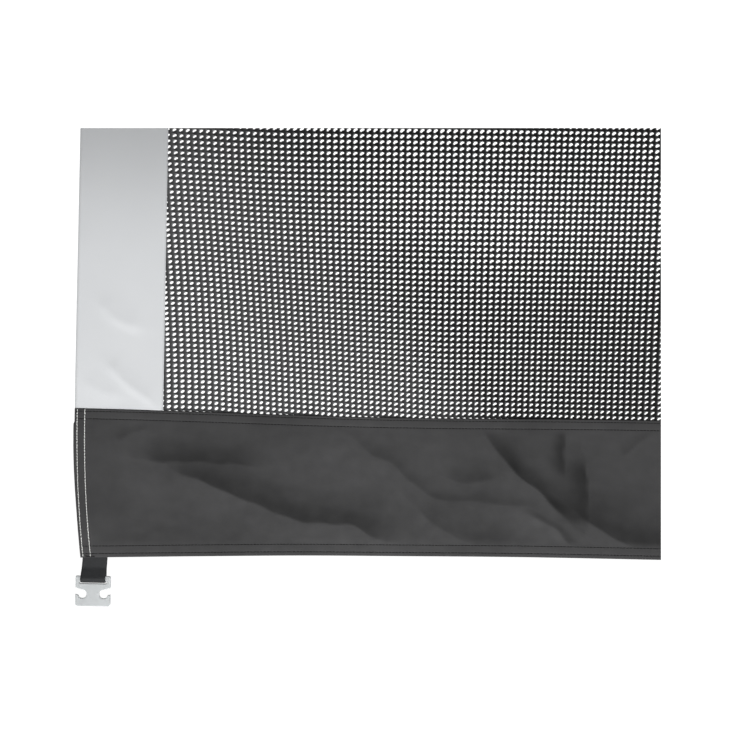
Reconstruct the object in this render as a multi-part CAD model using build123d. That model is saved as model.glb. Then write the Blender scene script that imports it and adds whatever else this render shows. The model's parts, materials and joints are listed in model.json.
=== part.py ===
from build123d import *
import os
from math import asin, cos, pi, sin

os.makedirs("parts", exist_ok=True)

# A hanging wind and sun screen of cloth: a welt that slides into a rail, a light
# band and two side strips round a mesh panel, and a ground skirt with a webbing
# tab and a moulded peg hook at each lower corner. Millimetres.
# +X runs along the welt, +Y away from the front, +Z up. The origin is on the
# welt's axis, half way along it.

# Overall
WIDTH = 1200.0
HALF = WIDTH / 2
HEM_Z = -800.0  # lower corners of the skirt

# Welt: a cord inside a folded tape whose two flags clamp the top band
WELT_LENGTH = 1170.0
CORD_R = 3.2
SLEEVE_R_IN = 3.25
SLEEVE_R_OUT = 3.75
FLAG_HEIGHT = 22.0
FLAG_T = 0.5

# Cloth thicknesses
BAND_T = 0.5
STRIP_T = 0.5
MESH_T = 1.0
SKIRT_T = 0.6
LAP = 12.0  # overlap of one cloth on the next at a joint

# Heights and widths of the panels
BAND_TOP = -SLEEVE_R_OUT - 0.5  # just under the cord
BAND_BOTTOM = -78.0
STRIP_WIDTH = 88.0
SKIRT_HEIGHT = 149.0
SEAM_Z = HEM_Z + SKIRT_HEIGHT  # top edge of the skirt at the sides
SEAM_DIP_QUARTER = 2.6  # the seam sags most a quarter of the way across
SEAM_DIP_MIDDLE = 0.9
FOLD_Z = SEAM_Z - 21.0  # the line that the skirt swings about
FOLD_GAP = 0.5  # each side of the fold line
PANEL_BOTTOM = FOLD_Z + 2.0  # mesh and strips end behind the heading
HEM_RISE = 9.0  # the skirt's lower edge is an arc, higher at mid-width
SIDE_STRAIGHT = 15.0  # the skirt's sides are straight this far below the seam
SIDE_TUCK = 8.4  # and pull in below, to this much at the corners
HEM_PLY = 13.0  # turned hem along the bottom
SIDE_PLY = 13.5  # turned hem along each side

# Thread rows, sewn with a twin needle
THREAD_W = 0.6
THREAD_T = 0.25
ROW_NEAR = 2.7
ROW_FAR = 10.2
HEM_ROWS = [3.7, 11.2]  # above the skirt's lower edge
ROW_END = 1.0  # rows stop this far short of an edge
FLAG_ROW = 4.0  # height of the welt's row above the flags' lower edge

# Layers from front to back
BAND_Y = -BAND_T / 2
STRIP_Y = BAND_T / 2
MESH_Y = STRIP_Y + STRIP_T
SKIRT_Y = STRIP_Y - SKIRT_T  # the skirt lies on the strips' front
SKIRT_BACK = SKIRT_Y + SKIRT_T
HEM_BACK = SKIRT_BACK + SKIRT_T

# Webbing tab, folded double round the hook's bar and sewn behind the hem
WEB_W = 25.0
WEB_T = 1.2
TAB_X = -578.8
TAB_Y = HEM_BACK + WEB_T
TAB_AXIS_Z = HEM_Z - 2.0
TAB_GAP = 1.6  # each side of the line that the tab flexes about
ANCHOR_HEIGHT = 16.0
LOOP_R_IN = 3.2
LOOP_R_OUT = LOOP_R_IN + WEB_T
LOOP_APEX = 11.0  # the loop's inside closes this far above the bar

# Peg hook, a flat moulding; heights are from its bar's centre
HOOK_Z = HEM_Z - 21.2
HOOK_W = 35.2
HOOK_T = 3.0
HOOK_TOP = 2.6
HOOK_BOTTOM = -27.7
SLOT_W = 27.0
SLOT_TOP = -2.6
SLOT_BOTTOM = -4.9
SLOT_CORNER_R = 1.0
NOTCH_R = 4.3
NOTCH_X = 10.6
NOTCH_Z = -15.5
LIP_TOP = -9.2  # where the notch's mouth meets the side
LIP_BOTTOM = -15.6
LIP_REACH = 4.1  # where the lip's inner face meets the seat, from its centre
LIP_DROP = 1.0
BOTTOM_CORNER_R = 2.8
TOP_CORNER_R = 1.2
EDGE_R = 0.5
BAR_EDGE_R = 1.0

# Bar tack where the tab meets the hem
TACK_X = -581.8
TACK_W = 10.0
TACK_H = 1.8
TACK_GAP = 1.5  # between the tack and the rows above it

CURVE_POINTS = 13  # along a full-width curved edge
SIDE_POINTS = 5  # along a curved side
CUT = 1.0  # how far a cutting shape stands clear
NEAR = 0.01  # for picking edges by their place


def seam_z(x):
    """Top edge of the skirt: two gentle sags between its fixed corners."""
    s = HALF - abs(x)
    dip = SEAM_DIP_QUARTER * sin(pi * s / HALF) ** 2
    dip += SEAM_DIP_MIDDLE * sin(pi * s / WIDTH) ** 2
    return SEAM_Z - dip


def hem_z(x):
    """Lower edge of the skirt."""
    return HEM_Z + HEM_RISE * (1 - (x / (HALF - SIDE_TUCK)) ** 2)


def side_x(z):
    """Half-width of the skirt at a height."""
    drop = max(0.0, SEAM_Z - SIDE_STRAIGHT - z) / (SKIRT_HEIGHT - SIDE_STRAIGHT)
    return HALF - SIDE_TUCK * drop**2


def slab(x0, x1, z0, z1, y0, y1):
    """A rectangular piece between opposite corners."""
    size = (x1 - x0, y1 - y0, z1 - z0)
    centre = ((x0 + x1) / 2, (y0 + y1) / 2, (z0 + z1) / 2)
    return Pos(*centre) * Box(*size)


def across(z_of_x, x0, x1, y, count=CURVE_POINTS):
    """A smooth edge across the screen whose height follows z_of_x."""
    xs = [x0 + (x1 - x0) * i / (count - 1) for i in range(count)]
    return Spline(*[(x, y, z_of_x(x)) for x in xs])


def down(x_of_z, z0, z1, y, count=SIDE_POINTS):
    """A smooth edge down the screen whose place follows x_of_z."""
    zs = [z0 + (z1 - z0) * i / (count - 1) for i in range(count)]
    return Spline(*[(x_of_z(z), y, z) for z in zs])


def sheet(edges, y0, y1):
    """Cloth of one thickness inside a closed chain of edges drawn at y0."""
    return extrude(make_face(edges), amount=y1 - y0, dir=(0, 1, 0))


def strip_across(top, bottom, x0, x1, y0, y1):
    """Cloth between an upper and a lower curve, with upright ends."""
    upper = across(top, x0, x1, y0)
    lower = across(bottom, x0, x1, y0)
    ends = [Line(upper @ 0, lower @ 0), Line(upper @ 1, lower @ 1)]
    return sheet([upper, lower] + ends, y0, y1)


def strip_down(inset0, inset1, z0, z1, y0, y1):
    """Cloth along the skirt's left side edge, between two insets from it."""
    outer = down(lambda z: -side_x(z) + inset0, z0, z1, y0)
    inner = down(lambda z: -side_x(z) + inset1, z0, z1, y0)
    ends = [Line(outer @ 0, inner @ 0), Line(outer @ 1, inner @ 1)]
    return sheet([outer, inner] + ends, y0, y1)


def rows_across(z_of_x, offsets, x0, x1, y_front):
    """Parallel rows of thread across the screen, each offset from a curve."""
    rows = []
    for offset in offsets:
        rows.append(
            strip_across(
                lambda x: z_of_x(x) + offset + THREAD_W / 2,
                lambda x: z_of_x(x) + offset - THREAD_W / 2,
                x0,
                x1,
                y_front - THREAD_T,
                y_front,
            )
        )
    return Compound(children=rows)


def rows_down(z0, z1):
    """The two thread rows of the skirt's left side hem, over one height."""
    rows = [
        strip_down(
            inset - THREAD_W / 2,
            inset + THREAD_W / 2,
            z0,
            z1,
            SKIRT_Y - THREAD_T,
            SKIRT_Y,
        )
        for inset in (ROW_NEAR, ROW_FAR)
    ]
    return Compound(children=rows)


def keder_cord():
    return Rot(0, 90, 0) * Cylinder(CORD_R, WELT_LENGTH)


def keder_tape():
    """A sleeve round the cord, with a flag down each face of the top band."""
    flag_y = BAND_T / 2 + FLAG_T
    shell = Rot(0, 90, 0) * Cylinder(SLEEVE_R_OUT, WELT_LENGTH)
    end = WELT_LENGTH / 2
    flags = slab(-end, end, -FLAG_HEIGHT, 0, -flag_y, flag_y)
    hollow = Rot(0, 90, 0) * Cylinder(SLEEVE_R_IN, WELT_LENGTH)
    pocket = slab(-end, end, -FLAG_HEIGHT, -CORD_R, -BAND_T / 2, BAND_T / 2)
    return shell + flags - hollow - pocket


def keder_thread():
    """One row that sews both flags to the top band."""
    end = WELT_LENGTH / 2
    front = -BAND_T / 2 - FLAG_T
    return rows_across(lambda x: -FLAG_HEIGHT, [FLAG_ROW], -end, end, front)


def top_band():
    return slab(-HALF, HALF, BAND_BOTTOM, BAND_TOP, BAND_Y, BAND_Y + BAND_T)


def top_band_thread():
    end = HALF - ROW_END
    rows = [ROW_NEAR, ROW_FAR]
    return rows_across(lambda x: BAND_BOTTOM, rows, -end, end, BAND_Y)


def mesh_panel():
    end = HALF - STRIP_WIDTH + LAP
    top = BAND_BOTTOM + LAP
    return slab(-end, end, PANEL_BOTTOM, top, MESH_Y, MESH_Y + MESH_T)


def side_strip():
    """Coated cloth down the side, heat-sealed to the mesh along its inner edge."""
    inner = -HALF + STRIP_WIDTH
    top = BAND_BOTTOM + LAP
    return slab(-HALF, inner, PANEL_BOTTOM, top, STRIP_Y, STRIP_Y + STRIP_T)


def skirt_heading():
    """The skirt's top margin, sewn over the mesh and strips."""
    return strip_across(
        seam_z, lambda x: FOLD_Z + FOLD_GAP, -HALF, HALF, SKIRT_Y, SKIRT_BACK
    )


def skirt_seam_thread():
    end = HALF - SIDE_PLY
    return rows_across(seam_z, [-ROW_NEAR, -ROW_FAR], -end, end, SKIRT_Y)


def heading_thread():
    return rows_down(FOLD_Z + ROW_END, SEAM_Z - ROW_END)


def skirt_outline(inset, top, corner_z, y):
    """Closed edges of the hanging skirt, drawn in by an inset at its sides."""
    corner = side_x(corner_z) - inset
    left = down(lambda z: inset - side_x(z), top, corner_z, y)
    right = down(lambda z: side_x(z) - inset, top, corner_z, y)
    low = across(
        lambda x: corner_z + HEM_RISE * (1 - (x / corner) ** 2), -corner, corner, y
    )
    return [left, right, Line(left @ 0, right @ 0), low]


def skirt_flap():
    """The hanging skirt, one ply, with its bottom and side hems turned behind."""
    top = FOLD_Z - FOLD_GAP
    whole = skirt_outline(0, top, HEM_Z, SKIRT_Y)
    single = skirt_outline(SIDE_PLY, top + CUT, HEM_Z + HEM_PLY, SKIRT_BACK)
    return sheet(whole, SKIRT_Y, HEM_BACK) - sheet(single, SKIRT_BACK, HEM_BACK + CUT)


def bottom_hem_thread():
    end = side_x(HEM_Z) - SIDE_PLY
    return rows_across(hem_z, HEM_ROWS, -end, end, SKIRT_Y)


def side_hem_thread():
    """The light twin rows, from the fold line down to the bar tack."""
    return rows_down(HEM_Z + TACK_H + TACK_GAP, FOLD_Z - ROW_END)


def bar_tack():
    """Close zigzag over the hem's edge, above the tab."""
    x0, z0 = TACK_X - TACK_W / 2, hem_z(TACK_X)
    return slab(x0, x0 + TACK_W, z0, z0 + TACK_H, SKIRT_Y - THREAD_T, SKIRT_Y)


def tab_anchor():
    """Both ends of the webbing, one on the other, sewn behind the hem."""
    z0 = TAB_AXIS_Z + TAB_GAP
    half = WEB_W / 2
    return slab(
        TAB_X - half,
        TAB_X + half,
        z0,
        z0 + ANCHOR_HEIGHT,
        TAB_Y - WEB_T,
        TAB_Y + WEB_T,
    )


def teardrop(radius, apex, x):
    """A circle round the bar with straight sides that meet above it."""
    rise = asin(radius / apex)
    side_y, side_z = radius * cos(rise), radius * sin(rise)
    left, right = (x, -side_y, side_z), (x, side_y, side_z)
    bowl = ThreePointArc(left, (x, 0, -radius), right)
    top = (x, 0, apex)
    return make_face([bowl, Line(right, top), Line(top, left)])


def tab_loop():
    """The free end of the tab: doubled webbing that opens into an eye."""
    x0 = TAB_X - WEB_W / 2
    outer = teardrop(LOOP_R_OUT, LOOP_APEX * LOOP_R_OUT / LOOP_R_IN, x0)
    inner = teardrop(LOOP_R_IN, LOOP_APEX, x0)
    neck_top = TAB_AXIS_Z - TAB_GAP - HOOK_Z
    eye = extrude(outer, amount=WEB_W, dir=(1, 0, 0))
    neck = slab(x0, x0 + WEB_W, LOOP_APEX, neck_top, -WEB_T, WEB_T)
    hole = extrude(inner, amount=WEB_W, dir=(1, 0, 0))
    return Pos(0, TAB_Y, HOOK_Z) * (eye + neck - hole)


def notch(side):
    """One side notch: a round seat with a flared mouth above a pointed lip."""
    seat = Pos(side * NOTCH_X, NOTCH_Z) * Circle(NOTCH_R)
    edge = HOOK_W / 2 + CUT
    slope = (LIP_TOP - (NOTCH_Z + NOTCH_R)) / (HOOK_W / 2 - NOTCH_X)
    mouth = Polyline(
        (side * NOTCH_X, NOTCH_Z + NOTCH_R),
        (side * edge, LIP_TOP + slope * CUT),
        (side * edge, LIP_BOTTOM),
        (side * (NOTCH_X + LIP_REACH), NOTCH_Z - LIP_DROP),
        (side * NOTCH_X, NOTCH_Z),
        close=True,
    )
    return seat + make_face(mouth)


def peg_hook():
    """A flat plate with a bar for the webbing and two open notches."""
    height = HOOK_TOP - HOOK_BOTTOM
    plate = Pos(0, (HOOK_TOP + HOOK_BOTTOM) / 2) * Rectangle(HOOK_W, height)
    low = plate.vertices().group_by(Axis.Y)[0]
    plate = fillet(low, BOTTOM_CORNER_R)
    high = plate.vertices().group_by(Axis.Y)[-1]
    plate = fillet(high, TOP_CORNER_R)
    slot_mid = (SLOT_TOP + SLOT_BOTTOM) / 2
    slot_size = (SLOT_W, SLOT_TOP - SLOT_BOTTOM)
    slot = Pos(0, slot_mid) * RectangleRounded(*slot_size, SLOT_CORNER_R)
    outline = plate - slot - notch(-1) - notch(1)
    solid = extrude(outline, amount=HOOK_T / 2, both=True)
    along = solid.edges().filter_by(Axis.X)
    bar = [e for e in along if e.center().Y > SLOT_TOP - NEAR]
    solid = fillet(bar, BAR_EDGE_R)
    flat = solid.edges().filter_by(
        lambda e: abs(abs(e.center().Z) - HOOK_T / 2) < NEAR
    )
    rim = [e for e in flat if e.center().Y < SLOT_BOTTOM + NEAR]
    solid = chamfer(rim, EDGE_R)
    upright = Plane(origin=(TAB_X, TAB_Y, HOOK_Z), x_dir=(1, 0, 0), z_dir=(0, -1, 0))
    return upright * solid


SINGLE = {
    "keder_cord": keder_cord,
    "keder_tape": keder_tape,
    "keder_thread": keder_thread,
    "top_band": top_band,
    "top_band_thread": top_band_thread,
    "mesh_panel": mesh_panel,
    "skirt_heading": skirt_heading,
    "skirt_seam_thread": skirt_seam_thread,
    "skirt_flap": skirt_flap,
    "bottom_hem_thread": bottom_hem_thread,
}
PAIRED = {
    "side_strip": side_strip,
    "heading_thread": heading_thread,
    "side_hem_thread": side_hem_thread,
    "bar_tack": bar_tack,
    "tab_anchor": tab_anchor,
    "tab_loop": tab_loop,
    "peg_hook": peg_hook,
}

for name, make in SINGLE.items():
    export_step(make(), f"parts/{name}.step")
for name, make in PAIRED.items():
    left = make()
    export_step(left, f"parts/left_{name}.step")
    export_step(mirror(left, about=Plane.YZ), f"parts/right_{name}.step")
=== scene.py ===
"""Looks of a hanging cloth screen: mesh panel, light border, dark ground skirt, webbing tabs and hooks.

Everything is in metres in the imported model's frame: +X along the welt, +Y away from the
front, +Z up, origin on the welt's axis at mid-width.
"""

import bpy
import json
import math
import numpy as np
from mathutils import Matrix, Vector


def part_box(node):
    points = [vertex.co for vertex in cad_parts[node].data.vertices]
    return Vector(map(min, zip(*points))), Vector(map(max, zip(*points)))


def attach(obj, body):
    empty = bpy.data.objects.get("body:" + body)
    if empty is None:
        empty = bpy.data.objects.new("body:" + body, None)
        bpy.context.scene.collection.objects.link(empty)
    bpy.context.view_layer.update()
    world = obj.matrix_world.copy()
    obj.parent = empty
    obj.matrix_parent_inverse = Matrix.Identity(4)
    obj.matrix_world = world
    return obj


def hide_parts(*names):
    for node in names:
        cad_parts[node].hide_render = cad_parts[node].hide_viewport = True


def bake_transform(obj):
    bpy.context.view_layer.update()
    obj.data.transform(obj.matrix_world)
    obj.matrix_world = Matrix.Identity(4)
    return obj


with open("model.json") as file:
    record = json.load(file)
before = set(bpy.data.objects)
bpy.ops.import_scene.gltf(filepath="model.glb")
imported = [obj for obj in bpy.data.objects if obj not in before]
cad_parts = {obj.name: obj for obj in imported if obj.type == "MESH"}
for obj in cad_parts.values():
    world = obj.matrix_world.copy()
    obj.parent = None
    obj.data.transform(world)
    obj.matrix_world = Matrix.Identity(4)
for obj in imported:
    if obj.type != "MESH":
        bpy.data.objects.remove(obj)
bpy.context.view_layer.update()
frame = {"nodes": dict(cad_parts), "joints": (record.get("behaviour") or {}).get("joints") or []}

MM = 0.001
NODES = frame["nodes"]
JOINTS = {joint["name"]: joint for joint in frame["joints"]}
SIDES = {"left": -1, "right": 1}

# Places and sizes, from the frame
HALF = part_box("top_band")[1].x
BAND_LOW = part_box("top_band")[0].z
BAND_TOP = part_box("top_band")[1].z
BAND_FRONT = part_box("top_band")[0].y
BAND_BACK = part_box("top_band")[1].y
STRIP_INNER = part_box("left_side_strip")[1].x
STRIP_FRONT, STRIP_BACK = (corner.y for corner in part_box("left_side_strip"))
STRIP_LOW, STRIP_TOP = (corner.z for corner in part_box("left_side_strip"))
MESH_LO, MESH_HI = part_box("mesh_panel")
MESH_MIDDLE = (MESH_LO.y + MESH_HI.y) / 2
TAPE_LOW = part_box("keder_tape")[0].z
TAPE_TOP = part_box("keder_tape")[1].z
TAPE_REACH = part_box("keder_tape")[1].x
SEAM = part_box("skirt_heading")[1].z
SKIRT_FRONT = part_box("skirt_heading")[0].y
SKIRT_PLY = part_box("skirt_heading")[1].y - SKIRT_FRONT
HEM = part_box("skirt_flap")[0].z
FOLD = JOINTS["skirt_fold"]["pos_m"][2]
TAB_X = JOINTS["right_tab_flex"]["pos_m"][0]
TAB_FLEX = JOINTS["right_tab_flex"]["pos_m"][2]
TAB_Y = JOINTS["right_hook_pivot"]["pos_m"][1]
BAR_Z = JOINTS["right_hook_pivot"]["pos_m"][2]
ANCHOR_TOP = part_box("left_tab_anchor")[1].z
WEB_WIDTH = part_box("left_tab_loop")[1].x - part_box("left_tab_loop")[0].x

# The skirt's outline, as the CAD has it
SEAM_DIP_QUARTER = 2.6 * MM
SEAM_DIP_MIDDLE = 0.9 * MM
HEM_RISE = 9.0 * MM
SIDE_STRAIGHT = 15.0 * MM
SIDE_TUCK = 8.4 * MM
HEM_PLY = 13.0 * MM
SIDE_PLY = 13.5 * MM

# What the visible outline has besides: a rise of the hem at its quarters, and a bulge of the side's edge
# between two depths below the seam
HEM_QUARTER = 0.368
HEM_QUARTER_WIDTH = 0.09
HEM_QUARTER_RISE = 1.0 * MM
BULGE = 1.0 * MM
BULGE_TOP = 13 * MM
BULGE_LOW = 115 * MM

# Broad waves of the hanging cloth: their height, how far below the band's top they are full, and the calm
# around each tab, with its half-width, its top and the height over which it sets in
WAVE = 1.6 * MM
WAVE_FULL = 0.30
CALM_WIDTH = 0.05
CALM_TOP = -0.60
CALM_FADE = 0.12

CLOTH_SHARE = 0.95  # thickness of the skirt's visible cloth, as a share of the CAD's
WEB_PLY = 1.15 * MM
MESH_BACK = 0.42 * MM  # from the mesh's middle to just behind it

# Twin-needle rows, from the edge that they follow
ROWS = (2.7 * MM, 10.2 * MM)
HEM_ROWS = (3.7 * MM, 11.2 * MM)


# -------- shapes


def smooth(t):
    """0 below 0, 1 above 1, with a soft start and end."""
    t = np.clip(t, 0.0, 1.0)
    return t * t * (3 - 2 * t)


def bell(x, middle, width):
    """1 at the middle, dying out on both sides."""
    return np.exp(-(((x - middle) / width) ** 2))


def seam_dip(x):
    """How far the skirt's top edge sags below its corners."""
    s = HALF - np.abs(x)
    quarter = SEAM_DIP_QUARTER * np.sin(np.pi * s / HALF) ** 2
    return quarter + SEAM_DIP_MIDDLE * np.sin(np.pi * s / (2 * HALF)) ** 2


def seam_z(x):
    return SEAM - seam_dip(x)


def hem_z(x):
    """Lower edge of the skirt: the CAD's arc, drawn up a little at its quarters."""
    arc = HEM + HEM_RISE * (1 - (x / (HALF - SIDE_TUCK)) ** 2)
    return arc + HEM_QUARTER_RISE * bell(np.abs(x), HEM_QUARTER, HEM_QUARTER_WIDTH)


def side_x(z):
    """Half-width of the skirt at a height."""
    drop = np.clip((SEAM - SIDE_STRAIGHT - z) / (SEAM - SIDE_STRAIGHT - HEM), 0, None)
    return HALF - SIDE_TUCK * drop**2


def edge_bulge(z):
    """How far the side hem's edge stands out just below the heading."""
    start = smooth((SEAM - BULGE_TOP - z) / (2.5 * MM))
    return BULGE * start * smooth((z - SEAM + BULGE_LOW) / (75 * MM))


def ripples(x, z, seed, count, shortest, longest, slant=1.0):
    """A sum of soft waves in seeded directions, about -1 to 1."""
    rng = np.random.default_rng(seed)
    total = np.zeros(np.broadcast(x, z).shape)
    for _ in range(count):
        length = rng.uniform(shortest, longest)
        turn = rng.uniform(-slant, slant)
        phase = rng.uniform(0, 2 * np.pi)
        along = x * np.cos(turn) + z * np.sin(turn)
        total += np.sin(2 * np.pi * along / length + phase)
    return total / np.sqrt(count)


def hang(x, z):
    """How far the hanging cloth stands off its plane."""
    free = smooth((BAND_TOP - z) / WAVE_FULL)
    near_tab = bell(np.abs(x), TAB_X, CALM_WIDTH) * smooth((CALM_TOP - z) / CALM_FADE)
    return WAVE * free * (1 - near_tab) * ripples(x, z, 11, 5, 0.28, 0.75, 0.5)


def curve_through(points, steps=10):
    """Points on a smooth line through the given ones."""
    p = np.array(points, float)
    p = np.vstack([2 * p[0] - p[1], p, 2 * p[-1] - p[-2]])
    line = []
    for a, b, c, d in zip(p, p[1:], p[2:], p[3:]):
        square, cube = 2 * a - 5 * b + 4 * c - d, 3 * b - a - 3 * c + d
        for t in np.linspace(0, 1, steps, endpoint=False):
            line.append(0.5 * (2 * b + (c - a) * t + square * t**2 + cube * t**3))
    line.append(p[-2])
    return np.array(line)


def off_line(line, x, z):
    """Signed distance from a line, positive on its upper side, and how far along it, 0 to 1."""
    best = np.full(x.shape, 1e9)
    signed = np.zeros(x.shape)
    along = np.zeros(x.shape)
    for k in range(len(line) - 1):
        a, d = line[k], line[k + 1] - line[k]
        t = np.clip(((x - a[0]) * d[0] + (z - a[1]) * d[1]) / (d @ d), 0, 1)
        dx, dz = x - a[0] - t * d[0], z - a[1] - t * d[1]
        gap = np.hypot(dx, dz)
        nearer = gap < best
        best = np.where(nearer, gap, best)
        signed = np.where(nearer, np.sign(d[0] * dz - d[1] * dx) * gap, signed)
        along = np.where(nearer, (k + t) / (len(line) - 1), along)
    return signed, along


CREST_WANDER = 0.9 * MM
CREST_ROUND = 1.2 * MM
CREST_TAPER = 0.2  # share of the crest over which each of its ends dies out


def crease(x, z, points, height, above, below, shade=0.0):
    """One crease: its outward swell, and the painted shade that it lays on the cloth. Its crest runs through
    points, in mm from the skirt's lower left corner; above and below are the widths of its two flanks, in
    mm.
    The upper flank is steep right up to the crest, and the lower one is round."""
    line = curve_through(np.array(points, float) * MM + [-HALF, HEM])
    signed, along = off_line(line, x, z)
    signed = signed + CREST_WANDER * ripples(x, z, 9, 6, 0.016, 0.05, 1.5)
    taper = smooth(along / CREST_TAPER) * smooth((1 - along) / CREST_TAPER)
    upper = np.sqrt(signed**2 + CREST_ROUND**2) - CREST_ROUND
    steep = np.exp(-((upper / (above * MM)) ** 1.15))
    swell = np.where(signed > 0, steep, bell(signed, 0, below * MM))
    # painted shade: broad and mottled over the upper flank, and fading within a few mm below the crest
    mottled = 1 + 0.10 * ripples(x, z, 10, 7, 0.014, 0.06, 1.5)
    broad = bell(signed, 0, 1.1 * above * MM) * mottled
    dull = np.where(signed > 0, broad, smooth(1 + signed / (3 * MM)))
    return height * MM * (0.35 + 0.65 * taper) * swell, shade * (0.2 + 0.8 * taper) * dull


# -------- mesh building


def add(name, data):
    """A new object in the scene."""
    made = bpy.data.objects.new(name, data)
    bpy.context.scene.collection.objects.link(made)
    return made


def mesh_object(name, points, quads):
    """A smoothly shaded mesh object from arrays of points and of quads."""
    mesh = bpy.data.meshes.new(name)
    mesh.vertices.add(len(points))
    mesh.vertices.foreach_set("co", np.ascontiguousarray(points, np.float32).ravel())
    mesh.loops.add(quads.size)
    mesh.loops.foreach_set("vertex_index", quads.astype(np.int32).ravel())
    mesh.polygons.add(len(quads))
    mesh.polygons.foreach_set("loop_start", np.arange(0, quads.size, 4, dtype=np.int32))
    mesh.update(calc_edges=True)
    mesh.validate()
    mesh.polygons.foreach_set("use_smooth", np.ones(len(mesh.polygons), bool))
    return add(name, mesh)


def point_value(made, name, values):
    """A number on each point, for a material to read."""
    attribute = made.data.attributes.new(name, "FLOAT", "POINT")
    attribute.data.foreach_set("value", np.ascontiguousarray(values, np.float32).ravel())


def grid_quads(rows, cols):
    """The quads of a grid of points, as numbers of points."""
    index = np.arange(rows * cols).reshape(rows, cols)
    a, b = index[:-1, :-1], index[:-1, 1:]
    c, d = index[1:, 1:], index[1:, :-1]
    return np.stack([a, d, c, b], axis=-1).reshape(-1, 4)


def closed(name, front, back):
    """A closed cloth between two grids of points."""
    rows, cols = front.shape[:2]
    count = rows * cols
    faces = grid_quads(rows, cols)
    index = np.arange(count).reshape(rows, cols)
    rim = np.concatenate([index[0, :-1], index[:-1, -1], index[-1, :0:-1], index[:0:-1, 0]])
    after = np.roll(rim, -1)
    edge = np.stack([rim, after, after + count, rim + count], axis=-1)
    quads = np.concatenate([faces, faces[:, ::-1] + count, edge])
    points = np.concatenate([front.reshape(-1, 3), back.reshape(-1, 3)])
    return mesh_object(name, points, quads)


def shell(name, front, thickness):
    """A closed cloth from a grid of points on its front, top row first, left to right."""
    back = front.copy()
    back[..., 1] += thickness
    return closed(name, front, back)


def spaced(*stretches):
    """Places along a line: each stretch is (start, end, step)."""
    places = []
    for start, end, step in stretches:
        count = max(1, round(abs(end - start) / step))
        places.extend(np.linspace(start, end, count, endpoint=False))
    places.append(stretches[-1][1])
    return np.array(places)


def distances(line):
    """How far along a line of points each of them is."""
    return np.concatenate([[0], np.cumsum(np.linalg.norm(np.diff(line, axis=0), axis=1))])


def relax(values, times):
    """Evens out a line of values in place, along its last axis."""
    for _ in range(times):
        values[..., 1:-1] = (values[..., :-2] + 2 * values[..., 1:-1] + values[..., 2:]) / 4


def inside_ring(x, z):
    """Area inside each ring of points, above zero where the ring runs from +X to +Z."""
    return (x * np.roll(z, -1, -1) - z * np.roll(x, -1, -1)).sum(-1) / 2


def groove(distance, depth=0.11 * MM, width=0.6 * MM):
    """The dent that a row of stitches pulls into cloth."""
    return depth * bell(distance, 0, width)


def channel(inset, rows=ROWS):
    """Relief over a twin-needle seam: two dents, and the cloth puffed a little between and beside them."""
    near, far = rows
    puff = 0.06 * MM * np.sin(np.clip((inset - near) / (far - near), 0, 1) * np.pi) ** 1.5
    lift = 0.03 * MM * bell(inset, far + 3 * MM, 2 * MM)
    round_edge = 0.25 * MM * np.exp(-inset / (0.5 * MM))
    return groove(inset - near) + groove(inset - far) - puff - lift + round_edge


# -------- skirt

# Creases of the skirt: points of the crest, then its height, the widths of its upper and lower
# flanks, and how much painted shade it lays. All is in mm, and points are from the skirt's lower left
# corner.
LONG_CREST = [
    (96, 93), (112, 85), (149, 71), (174, 62), (204, 49),
    (229, 42), (254, 40), (284, 37), (304, 26), (340, 15),
]
CREASES = [
    (LONG_CREST, 0.9, 23, 26, 0.68),
    ([(66, 100), (92, 98), (120, 99), (150, 98), (192, 96)], 0.2, 16, 5, 0.48),
    ([(42, 116), (54, 126), (76, 134)], 0.2, 6, 8, 0.24),
    ([(16, 14), (64, 8), (130, 8), (190, 12)], 0.1, 26, 6, 0.24),
    (
        [(262, 140), (297, 112), (321, 99), (341, 81), (360, 68), (387, 65), (454, 60), (492, 44)],
        0.6, 6, 16, 0.27,
    ),
    ([(404, 142), (430, 108), (450, 88), (468, 74), (486, 56), (504, 40)], 0.9, 12, 16, 0.74),
    ([(490, 88), (489, 115), (488, 148)], 0.35, 9, 3, 0.60),
    ([(512, 38), (513, 70), (508, 112)], 0.4, 17, 6, 0.66),
    ([(446, 58), (482, 40), (495, 26), (520, 10)], 0.6, 5, 7, 0.42),
    ([(496, 62), (526, 40), (556, 25), (596, 14), (650, 4)], 0.7, 25, 12, 0.66),
    ([(372, 88), (396, 83), (424, 88)], 0.3, 15, 8, 0.32),
    ([(340, 60), (356, 46), (379, 30), (414, 20), (450, 12)], 0.5, 22, 12, 0.30),
    ([(546, 112), (562, 124), (584, 144)], 0.3, 7, 9, 0.24),
    ([(640, 20), (690, 40), (742, 58), (800, 90), (838, 122)], 0.9, 17, 20, 0.54),
    ([(660, 130), (700, 104), (738, 96), (790, 80)], 0.6, 8, 14, 0.32),
    ([(820, 20), (862, 38), (905, 62), (936, 96), (956, 134)], 0.9, 15, 18, 0.58),
    ([(900, 40), (948, 30), (1002, 46), (1040, 82)], 0.7, 12, 15, 0.38),
    ([(1010, 132), (1032, 112), (1078, 104)], 0.5, 9, 10, 0.26),
    ([(1060, 26), (1100, 50), (1142, 72)], 0.7, 13, 14, 0.42),
    ([(752, 94), (758, 116), (752, 141)], 0.35, 10, 5, 0.42),
]


def skirt_insets(x, z):
    """How far inside the skirt's top edge, its hem's edge and its side edge a place is."""
    return seam_z(x) - z, z - hem_z(x), side_x(z) - np.abs(x)


def skirt_creases(x, z):
    """The skirt's creases: swell and painted shade, both fading into its seams and hems."""
    top, low, side = skirt_insets(x, z)
    inside = smooth((top - 10 * MM) / (9 * MM)) * smooth((low - 9 * MM) / (9 * MM))
    inside = inside * smooth((side - 10 * MM) / (16 * MM))
    swell, clear = 0.0, 1.0
    for one in CREASES:
        rise, dull = crease(x, z, *one)
        swell = swell + rise
        clear = clear * (1 - dull)
    return inside * swell, inside * (1 - clear)


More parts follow.
